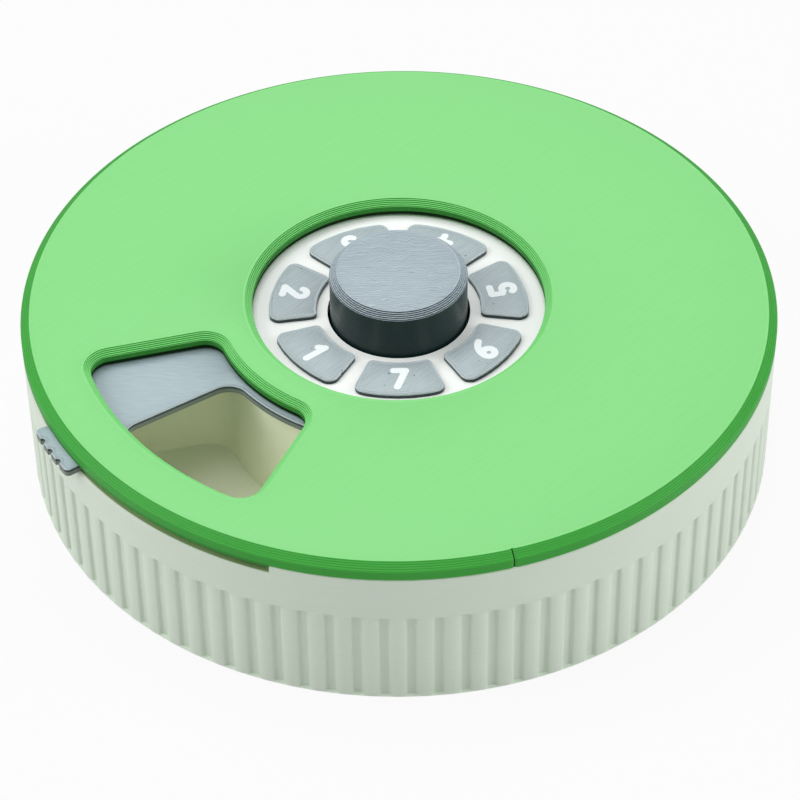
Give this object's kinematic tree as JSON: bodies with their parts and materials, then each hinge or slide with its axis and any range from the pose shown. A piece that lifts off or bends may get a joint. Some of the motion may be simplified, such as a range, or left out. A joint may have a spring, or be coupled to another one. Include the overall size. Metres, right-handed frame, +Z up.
{
  "type": "push-button pill box",
  "caption": "Round daily pill box with a green lid, a sliding shutter over its window, a numbered dial and a centre button that turns the compartment tray.",
  "frame": {"origin": "centre of the underside, where the box stands", "axes": "+Z up along the button's axis, +X to the right and +Y away from the picture's camera, so the window is at the front left"},
  "size_m": [0.12, 0.12, 0.0335],
  "materials": {
    "ivory_plastic": "printed in layers, warm ivory, semi-matte",
    "green_plastic": "printed in layers, bright green, semi-matte",
    "grey_plastic": "printed in layers, blue grey, semi-matte",
    "white_plastic": "printed in layers, white, semi-matte",
    "steel_pin": "ground pin",
    "spring_steel": "drawn spring wire"
  },
  "bodies": {
    "base": {"base_shell": "ivory_plastic", "detent_leaf": "ivory_plastic", "return_spring": "spring_steel"},
    "carousel": {"tray_hub": "ivory_plastic", "tray_segment_1": "ivory_plastic", "tray_segment_2": "ivory_plastic", "tray_segment_3": "ivory_plastic", "tray_segment_4": "ivory_plastic", "tray_segment_5": "ivory_plastic", "tray_segment_6": "ivory_plastic", "tray_segment_7": "ivory_plastic", "ratchet_ring": "grey_plastic", "dial_disc": "white_plastic", "day_pad_1": "grey_plastic", "day_pad_2": "grey_plastic", "day_pad_3": "grey_plastic", "day_pad_4": "grey_plastic", "day_pad_5": "grey_plastic", "day_pad_6": "grey_plastic", "day_pad_7": "grey_plastic", "numeral_1": "white_plastic", "numeral_2": "white_plastic", "numeral_3": "white_plastic", "numeral_4": "white_plastic", "numeral_5": "white_plastic", "numeral_6": "white_plastic", "numeral_7": "white_plastic"},
    "lid_body": {"lid": "green_plastic"},
    "shutter": {"shutter_ring": "grey_plastic"},
    "button": {"button_cap": "grey_plastic", "plunger_stem": "grey_plastic", "cross_pin": "steel_pin"},
    "driver": {"index_driver": "ivory_plastic", "drive_pawls": "grey_plastic"}
  },
  "joints": [
    {"name": "button_press", "type": "slide", "parent": "base", "child": "button", "axis": [0, 0, -1], "range_m": [0, 0.006], "stiffness_N_per_m": 200, "springref_m": -0.004, "deforming": ["return_spring"]},
    {"name": "driver_turn", "type": "hinge", "parent": "base", "child": "driver", "pos_m": [0, 0, 0.01], "axis": [0, 0, 1], "range_deg": [-1, 53]},
    {"name": "tray_turn", "type": "hinge", "parent": "base", "child": "carousel", "pos_m": [0, 0, 0.01], "axis": [0, 0, 1], "continuous": true},
    {"name": "shutter_slide", "type": "hinge", "parent": "base", "child": "shutter", "pos_m": [0, 0, 0.0246], "axis": [0, 0, 1], "range_deg": [-18.2, 34.8]},
    {"name": "lid_lift", "type": "slide", "parent": "base", "child": "lid_body", "axis": [0, 0, 1], "range_m": [0, 0.04]}
  ],
  "couplings": [
    {"joint": "driver_turn", "follows": "button_press", "rad_per_m": 149.6}
  ]
}
